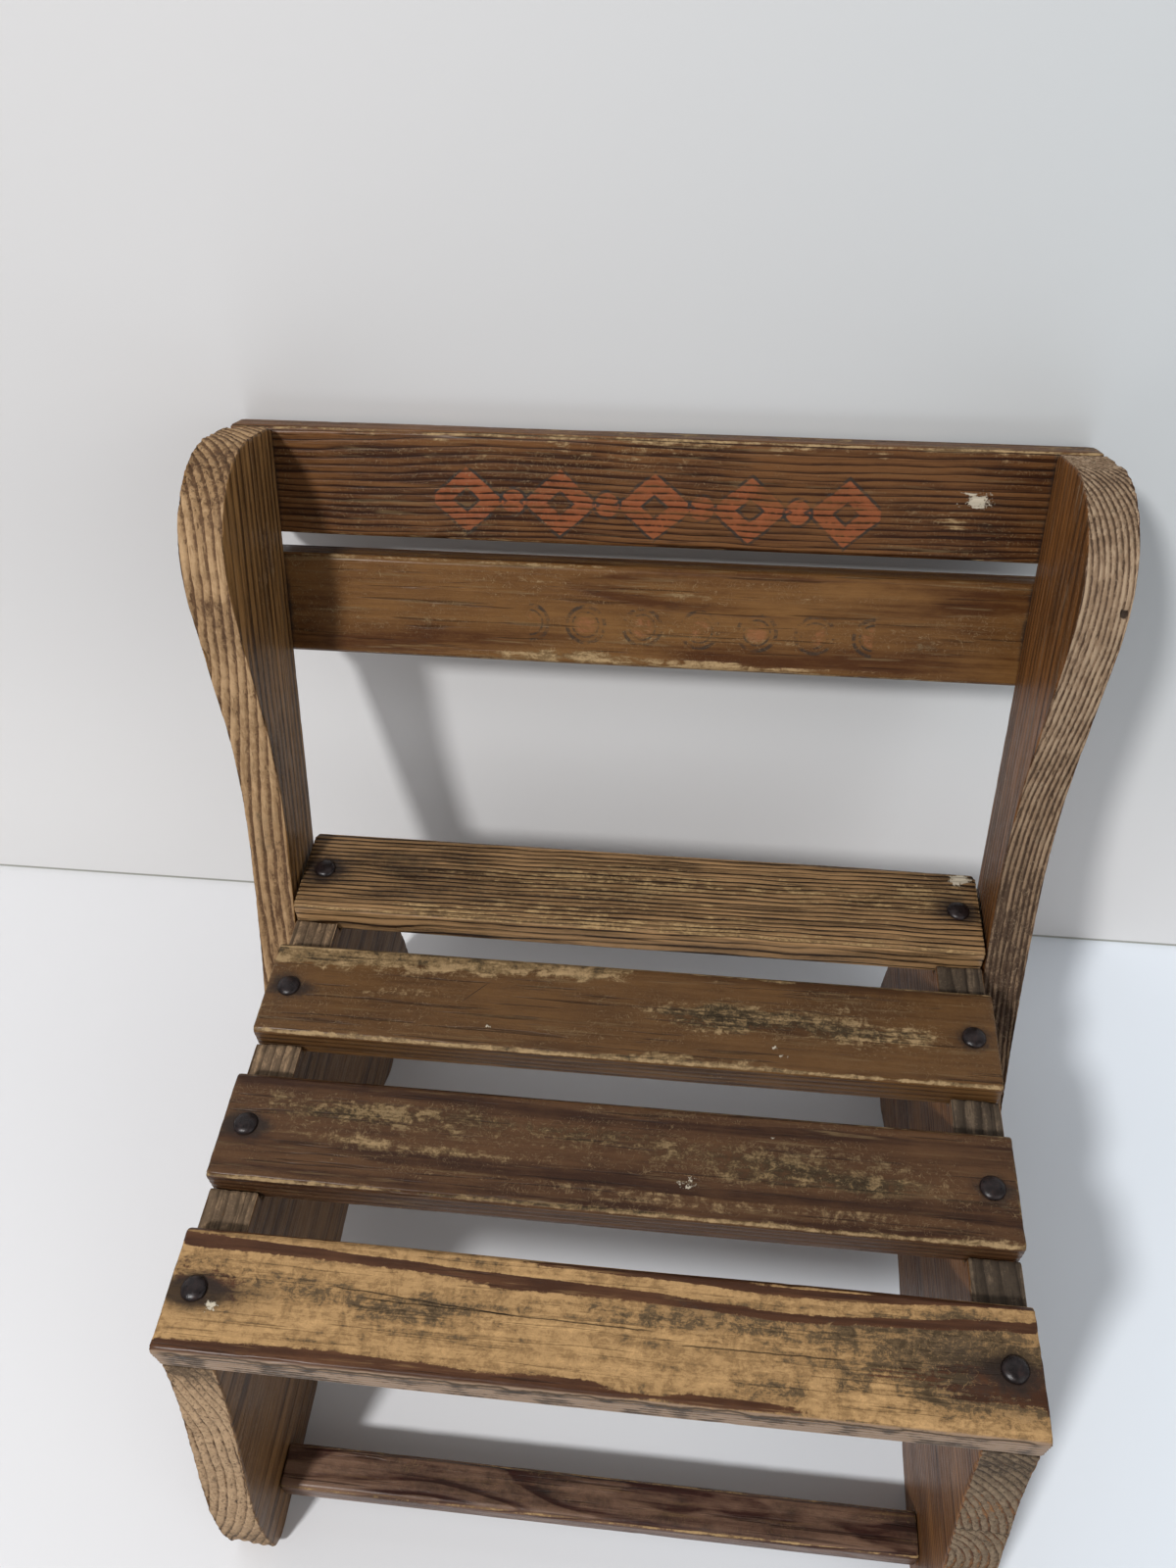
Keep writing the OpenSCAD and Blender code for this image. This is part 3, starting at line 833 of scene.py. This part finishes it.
# %% Rear seat slat
rear_slat = dict(
    heart=(-160 * MM, -70 * MM), lean=(0.012, 0.0), ring=2.4 * MM, phase=0.2, wander=1.5 * MM,
    ripple=0.7 * MM, seed=37.0, relief=0.40, worn=0.20, arris_wear=0.3,
    worn_at=[(80, 4, 95, 16, 0.26), (-20, 0, 50, 10, 0.14), (0, -23, 240, 3, 0.45), (-40, -18, 110, 5, 0.25)],
    soil_at=[(-40, 8, 60, 9, 0.12), (110, 8, 50, 10, 0.22)],
    stain_at=[
        *nail_stains(12), (-115, -12, 50, 6, 0.42), (-120, 6, 36, 12, 0.35), (-60, 14, 60, 6, 0.28),
        (20, -3, 90, 5, 0.22),
    ],
    fleck_at=[(163, 20, 5.5, 4, 1.2)],
)
rear_finish = pine(
    "rear slat pine", gloss=0.45, grain=1.3, streaky=1.1, hold=0.5, late_from=0.56, sunk=0.5, crevices=0.9,
    lifting=(0.34, 0.74), varnish=((0.340, 0.198, 0.090), (0.027, 0.0120, 0.0050)),
)
seat_slat("rear_seat_slat", rear_slat, rear_finish)

# %% [markdown]
# ## Leg boards
# Their grain runs from front to rear, so the curved front edge is end grain: rings show there as arcs, with
# open pores, dried grey. u runs to the rear along the grain, v up, w to the right. The right leg was glued
# from two boards, so it shows two sets of rings.

# %% Leg boards
GLUE_LINE_MM = 18.5
LEG_LOOK = dict(along=1, gloss=0.46, weathered=0.9, crevices=0.6)
leg = dict(
    directions=((0, 1, 0), (0, 0, 1), (1, 0, 0)), ripple=0.3 * MM, relief=0.12, arris_wear=0.3, top_worn=0.2,
    rim_axis=0, side_from=1, side_relief=0.5, shaped=True, fine=0.8, drawn_out=2.4,
)
left_leg = dict(
    leg, heart=(2 * MM, -165 * MM), lean=(0.0, 0.01), ring=4.2 * MM, phase=0.1, wander=2.2 * MM, seed=51.0,
    rim_relief=0.35, rim_worn=0.85, rim_soil_at=[(-130, 72, 30, 9, 0.55), (-165, -70, 30, 14, 0.35)],
)
right_leg = dict(
    leg, heart=(14 * MM, -41 * MM), lean=(0.0, -0.01), ring=3.4 * MM, phase=0.3, wander=2.0 * MM, seed=67.0,
    rim_relief=0.4, rim_worn=0.75, rim_soil_at=[(-130, 66, 30, 16, 0.35)], front=-1,
    glued=(GLUE_LINE_MM * MM, (-4 * MM, -21 * MM)),
)
left_leg_finish = pine(
    "left leg pine", **LEG_LOOK, mottle=0.5, grain=0.7, late_from=0.55,
    varnish=((0.190, 0.098, 0.038), (0.065, 0.030, 0.012)),
    bare=((0.42, 0.285, 0.170), (0.31, 0.205, 0.120), (0.105, 0.070, 0.043)),
)
right_leg_finish = pine(
    "right leg pine", **LEG_LOOK, mottle=0.4, grain=0.8,
    varnish=((0.245, 0.110, 0.038), (0.080, 0.031, 0.012)),
    bare=((0.23, 0.168, 0.110), (0.150, 0.107, 0.070), (0.050, 0.036, 0.025)),
    cracks=[crack("right_leg_board", -200, 200, UP, GLUE_LINE_MM)],
)
worn_board("left_leg_wood", "left_leg_board", "seat_frame", left_leg, left_leg_finish)
worn_board("right_leg_wood", "right_leg_board", "seat_frame", right_leg, right_leg_finish)

# %% [markdown]
# ## Front stretcher
# A thin strip between the front feet. Its heart lies close under its face and its rings are narrow, so
# they come out as long wavy bands under dark varnish.

# %% Front stretcher
stretcher = dict(
    directions=SLAT_WAYS, heart=(4 * MM, -34 * MM), lean=(-0.03, 0.012), ring=1.5 * MM, phase=0.0,
    wander=2.4 * MM, ripple=0.3 * MM, seed=83.0, relief=0.2, worn=0.05, arris_wear=0.6, fine=0.7,
    stain_at=[(0, 0, 400, 14, 0.5)],
)
foot_finish = pine(
    "stretcher pine", gloss=0.34, grain=1.2, late_from=0.5,
    varnish=((0.180, 0.104, 0.068), (0.036, 0.013, 0.010)),
)
worn_board("front_stretcher_wood", "front_stretcher", "seat_frame", stretcher, foot_finish)

# %% [markdown]
# ## Back boards
# The winged back boards' grain runs up their length. Their front edges are worn pale and show each ring as a
# dark stripe. They lean back, so their own directions are turned by the same angle.

# %% Back boards
RECLINE = math.radians(21.5)
UP_BACK = (0, math.sin(RECLINE), math.cos(RECLINE))
REARWARD = (0, math.cos(RECLINE), -math.sin(RECLINE))
FRONTWARD = tuple(-x for x in REARWARD)
BACK_TURN = (RECLINE, 0, 0)
WING_LOOK = dict(turn=BACK_TURN, along=2, hold=0.2, grain=1.2)
wing = dict(
    directions=(UP_BACK, REARWARD, (-1, 0, 0)), relief=0.15, rim_worn=0.9, worn=0.12, arris_wear=0.3,
    shaped=True, crown=1.0,
)
left_wing = dict(
    wing, heart=(-96 * MM, 100 * MM), ring=3.6 * MM, phase=0.1, wander=1.4 * MM, ripple=0.18 * MM, seed=97.0,
    # The soil mark at (147, 4) only darkens a patch high on the inner face.
    rim_relief=0.38, front=-1, nicks=1.1, hollows=(14, 1.0), soil_at=[(147, 4, 12, 18, 0.5)],
    rim_soil_at=[
        (-30, -14, 75, 60, 0.25), (132, -43, 14, 40, 0.34), (168, -44, 8, 40, 0.25), (190, -26, 10, 30, 0.35),
    ],
)
right_wing = dict(
    wing, heart=(-62 * MM, 110 * MM), ring=2.35 * MM, phase=0.4, wander=1.2 * MM, ripple=0.3 * MM, seed=113.0,
    rim_relief=0.55, nicks=0.9, hollows=(22, 0.5), holes=[(150, -45.5, -7.8, 1.8)],
    rim_soil_at=[(-50, -14, 95, 60, 0.62), (75, -30, 14, 40, 0.15), (185, -20, 25, 50, 0.15)],
)
left_finish = pine(
    "left back board pine", **WING_LOOK, mottle=0.45, crevices=0.5,
    varnish=((0.300, 0.158, 0.056), (0.058, 0.026, 0.008)),
    bare=((0.430, 0.278, 0.150), (0.300, 0.184, 0.092), (0.090, 0.048, 0.024)),
)
right_finish = pine(
    "right back board pine", **WING_LOOK, mottle=0.35, late_from=0.40,
    varnish=((0.205, 0.082, 0.023), (0.052, 0.020, 0.006)),
    bare=((0.375, 0.270, 0.178), (0.255, 0.168, 0.103), (0.060, 0.036, 0.022)),
)
worn_board("left_back_board_wood", "left_back_board", "back_frame", left_wing, left_finish)
worn_board("right_back_board_wood", "right_back_board", "back_frame", right_wing, right_finish)

# %% [markdown]
# ## Painted rows
# The upper back slat still carries an old painted row of orange diamonds and discs, drawn with distances in
# the slat's own plane. The wear that lifts the varnish lifts the paint too, most of all along the dark
# lines. The lower slat keeps only ghosts of a chain of rings.

# %% Painted rows
PAINT_ORANGE = (0.28, 0.078, 0.028)
GHOST_ORANGE = (0.27, 0.105, 0.045)
PAINT_INK = (0.030, 0.024, 0.019)


def height_up_back(node):
    """How far up the reclined back a node's middle lies, in the finish's turned coordinates."""
    middle = middle_of(node)
    return middle[1] * math.sin(RECLINE) + middle[2] * math.cos(RECLINE)


def row_places(place, height, pitch, centre, half_length):
    """Distances inside a repeating row: from a motif's middle, from the midline, and whether in the row."""
    along_row = place.axis(0) - centre
    off_middle = ((along_row * (1 / pitch) + 0.5).math("FRACT") - 0.5).math("ABSOLUTE") * pitch
    off_line = (place.axis(2) - height).math("ABSOLUTE")
    inside = 1 - along_row.math("ABSOLUTE").fade(half_length - 0.5 * MM, half_length + 0.5 * MM)
    return off_middle, off_line, inside


def distance(a, b):
    return (a * a + b * b).math("SQRT")


def near(value, target, half):
    """A thin band where value is close to target."""
    return 1 - (value - target).math("ABSOLUTE").fade(half * 0.6, half * 1.3)


def diamond_row(colour, wood):
    pitch = 43 * MM
    wobble = (wood.place.spread(120, detail=3) - 0.5) * (1.4 * MM)
    midline = height_up_back("upper_back_slat") - 5.5 * MM
    row = row_places(wood.place, midline, pitch, centre=1.5 * MM, half_length=101 * MM)
    off_middle, off_line, inside = row[0] + wobble, row[1] + wobble, row[2] * wood.shown
    diamond = off_middle * (1 / (17.5 * MM)) + off_line * (1 / (15.5 * MM))
    disc = distance(pitch / 2 - off_middle, off_line)
    filled = (1 - diamond.fade(0.97, 1.0)) * diamond.fade(0.34, 0.37) + (1 - disc.fade(5.2 * MM, 5.6 * MM))
    kept = (0.72 + wood.scuff * 1.8 + wood.streaks * 0.14 - wood.late * 0.5).fade(0.28, 0.62)
    thick = 0.62 + wood.scuff * 1.4 + wood.streaks * 0.25
    colour = (filled * inside * kept * thick).math("MINIMUM", 0.92).over(colour, PAINT_ORANGE)
    outline = near(diamond, 1.03, 0.06) + near(diamond, 0.32, 0.06) + near(disc, 6.1 * MM, 0.7 * MM)
    left = (wood.scuff * 3.2 + wood.streaks * 0.4 + wood.late * 0.2).fade(-0.22, 0.22)
    return (outline * inside * left * 0.85).math("MINIMUM", 1.0).over(colour, PAINT_INK)


def ring_chain(colour, wood):
    midline = height_up_back("lower_back_slat") - 4 * MM
    row = row_places(wood.place, midline, 27 * MM, centre=25 * MM, half_length=81 * MM)
    ring = distance(row[0], row[1])
    scraps = row[2] * wood.shown * (wood.scuff * 3.0 + wood.streaks * 0.35).fade(-0.20, 0.30)
    colour = ((1 - ring.fade(4.0 * MM, 5.5 * MM)) * scraps * 0.62).over(colour, GHOST_ORANGE)
    circles = near(ring, 9 * MM, 0.9 * MM) + near(ring, 6.2 * MM, 0.5 * MM)
    return (circles * scraps * 0.8).over(colour, PAINT_INK)


print("slats up the back", [round(height_up_back(n), 3) for n in ("upper_back_slat", "lower_back_slat")])

# %% [markdown]
# ## Back slats
# Two slats nailed to the rear edges of the back boards. u runs to the right, v up the lean, and w out of the
# front face. The upper one has close, deeply worn rings, the lower one wide ones that swirl near its top.

# %% Back slats
# Painted shadow: a dark line at each end of a back slat, where it meets a back board's inner face.
SLAT_END_SHADOWS = [(end * 174.5, 0, 2.0, 60, 0.75) for end in (-1, 1)]
back_slat = dict(directions=((1, 0, 0), UP_BACK, FRONTWARD), stain_at=SLAT_END_SHADOWS)
upper_slat = dict(
    back_slat, heart=(65 * MM, -56.5 * MM), lean=(0.004, 0.0), ring=2.15 * MM, phase=0.1,
    wander=2.0 * MM, ripple=0.4 * MM, seed=131.0, relief=0.42, worn=0.08, top_worn=0.28,
    worn_at=[(0, 23, 190, 3, 0.45), (-20, 17, 60, 3, 0.22), (90, -20, 30, 3, 0.25), (130, -7, 10, 4, 0.40)],
    soil_at=[(-40, 14, 90, 5, 0.25), (120, 10, 30, 6, 0.2)],
    fleck_at=[(140, 3, 8, 4, 1.0), (146, 1, 5, 3, 0.5)],
)
lower_slat = dict(
    back_slat, heart=(12 * MM, -75 * MM), lean=(0.01, 0.004), ring=8 * MM, phase=0.74,
    wander=1.8 * MM, ripple=0.25 * MM, seed=149.0, relief=0.2, top_worn=0.15, swirls=[(60, 15, 90, 9, -0.90)],
    worn_at=[
        (20, -22, 90, 3, 0.45), (-45, -21, 30, 4, 0.35), (40, 13, 70, 2, 0.25), (-35, 16, 40, 2, 0.20),
        (-40, -13, 75, 8, 0.34),
    ],
    soil_at=[(20, -10, 75, 9, 0.22), (-20, -12, 22, 6, 0.20)],
)
upper_finish = pine(
    "upper back slat pine", turn=BACK_TURN, gloss=0.40, lifting=(0.36, 0.78), grain=1.1, late_from=0.5,
    sunk=0.5, crevices=0.8, streaky=1.3, bare=SCUFFED, paint=diamond_row,
    varnish=((0.142, 0.060, 0.0195), (0.034, 0.0105, 0.0030)),
)
lower_finish = pine(
    "lower back slat pine", turn=BACK_TURN, gloss=0.38, lifting=(0.34, 0.80), grain=0.6, streaky=0.6,
    bare=SCUFFED, paint=ring_chain, varnish=((0.180, 0.086, 0.027), (0.066, 0.023, 0.006)),
)
worn_board("upper_back_slat_wood", "upper_back_slat", "back_frame", upper_slat, upper_finish)
worn_board("lower_back_slat_wood", "lower_back_slat", "back_frame", lower_slat, lower_finish)

# %% [markdown]
# ## Nails
# Big forged nails with domed heads hold the slats. A profile of the head and shank, from the crown down to
# the point, is spun once round its axis, and a little noise gives each head its own hammer flats. Each lies
# where the frame's own nail lies: the seat's driven from above, the back slats' from the rear.

# %% Nails
NAIL_HEAD_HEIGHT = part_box("seat_nails")[1][2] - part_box("front_seat_slat")[1][2]
SHANK_RADIUS = 1.1 * MM
POINT_LENGTH = 4 * MM
SPIN_STEPS = 28


def nail_net(net, crown, inward, head_width, reach, seed):
    """Adds one nail to the net: crown is the top of its dome and inward the way that it was driven."""
    before = set(net.verts)
    profile = [(0.0, 0.0)]
    for degrees in (14, 30, 46, 62, 78):
        angle = math.radians(degrees)
        profile.append((head_width / 2 * math.sin(angle), NAIL_HEAD_HEIGHT * (1 - math.cos(angle))))
    profile += [(head_width / 2, NAIL_HEAD_HEIGHT * 0.98), (head_width / 2 * 0.94, NAIL_HEAD_HEIGHT)]
    profile += [(SHANK_RADIUS, NAIL_HEAD_HEIGHT), (SHANK_RADIUS, reach - POINT_LENGTH), (0.0, reach)]
    start = [net.verts.new((radius, 0, -depth)) for radius, depth in profile]
    edges = [net.edges.new(pair) for pair in zip(start, start[1:])]
    whole = dict(axis=(0, 0, 1), cent=(0, 0, 0), angle=2 * math.pi, steps=SPIN_STEPS, use_merge=True)
    bmesh.ops.spin(net, geom=start + edges, **whole)
    bmesh.ops.remove_doubles(net, verts=[vert for vert in net.verts if vert not in before], dist=1e-6)
    made = [vert for vert in net.verts if vert not in before]
    for vert in made:
        if vert.co.z > -NAIL_HEAD_HEIGHT * 1.02:
            blow = noise.noise(vert.co / (3.4 * MM) + Vector((seed, seed * 2, 0)))
            vert.co *= 1 - 0.05 * max(0.0, 0.3 + blow)
    turn = Vector(inward).rotation_difference(Vector((0, 0, -1))).inverted().to_matrix().to_4x4()
    bmesh.ops.transform(net, matrix=Matrix.Translation(crown) @ turn, verts=made)


def parts_of(node):
    """The separate solids of a frame piece, each as its points in an array."""
    net = merged_net(node)
    left, found = set(net.verts), []
    for first in net.verts:
        if first not in left:
            continue
        left.discard(first)
        solid = [first]
        for vert in solid:
            linked = {edge.other_vert(vert) for edge in vert.link_edges} & left
            left -= linked
            solid.extend(linked)
        found.append(np.array([vert.co[:] for vert in solid]))
    net.free()
    return found


def nails_from(node, name, body, inward, finish):
    """Replaces a frame piece's plain nails with worked ones of the same size."""
    inward = Vector(inward).normalized()
    net = bmesh.new()
    solids = parts_of(node)
    for index, points in enumerate(solids):
        depth = points @ np.array(inward)
        across = points - np.outer(depth, inward)
        middle = (across.max(0) + across.min(0)) / 2
        width, reach = 2 * np.linalg.norm(across - middle, axis=1).max(), np.ptp(depth)
        crown = Vector(middle) + inward * depth.min()
        nail_net(net, crown, inward, width * 0.998, reach, seed=3.1 + index * 5.7)
    bmesh.ops.recalc_face_normals(net, faces=net.faces)
    mesh = finished_mesh(net, name)
    mesh.polygons.foreach_set("use_smooth", [True] * len(mesh.polygons))
    add_piece(name, mesh, finish, body, node)
    print(name, len(solids), "nails, head", round(width / MM, 2), "mm, length", round(reach / MM, 1), "mm")


print("a nail's head stands", round(NAIL_HEAD_HEIGHT / MM, 2), "mm proud")

# %% [markdown]
# ## Metal and dowels
# Clouds and fine grains give the metal an uneven polish, with rust where both are thick. The stop pins are
# pale beech with short dark flecks. All these pieces but the nails keep the frame's own shape.

# %% Metal finish
RUST = (0.12, 0.045, 0.018)


def worn_metal(name, bright, dark, gloss, rust=0.3, metallic=0.75, specular=0.5):
    material, place, shader = new_finish(name)
    cloud = place.spread(420, detail=5, roughness=0.65)
    grains = place.spread(2200, detail=3, roughness=0.7)
    colour = cloud.fade(0.35, 0.7).over(dark, bright)
    rusty = (cloud * 0.6 + grains * 0.4).fade(0.55, 0.66) * rust
    colour = rusty.over(colour, RUST)
    bump = place.node("Bump", {}, {"Strength": 0.5, "Distance": 0.25 * MM, "Height": cloud + grains * 0.4})
    plug(place, shader, Base_Color=colour, Metallic=metallic, Roughness=cloud * 0.25 + gloss, Normal=bump)
    plug(place, shader, Specular_IOR_Level=specular)
    return material


iron = worn_metal(
    "nail iron", (0.022, 0.014, 0.014), (0.008, 0.005, 0.005), 0.18, rust=0.15, metallic=0.1, specular=0.32
)
nails_from("seat_nails", "seat_nail_heads", "seat_frame", (0, 0, -1), iron)
nails_from("back_slat_nails", "back_slat_nail_heads", "back_frame", FRONTWARD, iron)


# %% Hardware
def dowel_finish(name):
    material, place, shader = new_finish(name)
    flecks = place.placed(scale=(0.12, 1, 1)).spread(1500, detail=3).fade(0.56, 0.66)
    cloud = place.spread(160, detail=6, roughness=0.7)
    colour = cloud.fade(0.36, 0.66).over((0.36, 0.235, 0.125), (0.20, 0.125, 0.062))
    colour = (flecks * 0.55).over(colour, (0.12, 0.066, 0.030))
    bump = place.node("Bump", {}, {"Strength": 0.4, "Distance": 0.2 * MM, "Height": cloud - flecks * 0.5})
    plug(place, shader, Base_Color=colour, Roughness=cloud * 0.3 + 0.42, Normal=bump)
    return material


def refinish(nodes, finish):
    """Gives frame pieces that keep their shape a finish of their own."""
    for node in nodes:
        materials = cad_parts[node].data.materials
        materials.clear()
        materials.append(finish)
    print(finish.name, "on", *nodes)


BOLTED = ("pivot_bolt", "pivot_nut", "nut_washer", "spacer_washer")
steel = worn_metal("bolt steel", (0.32, 0.31, 0.29), (0.14, 0.13, 0.12), 0.34)
refinish(["stretcher_screws", *(f"{side}_{part}" for side in ("left", "right") for part in BOLTED)], steel)
refinish(["left_stop_pin", "right_stop_pin"], dowel_finish("beech dowel"))
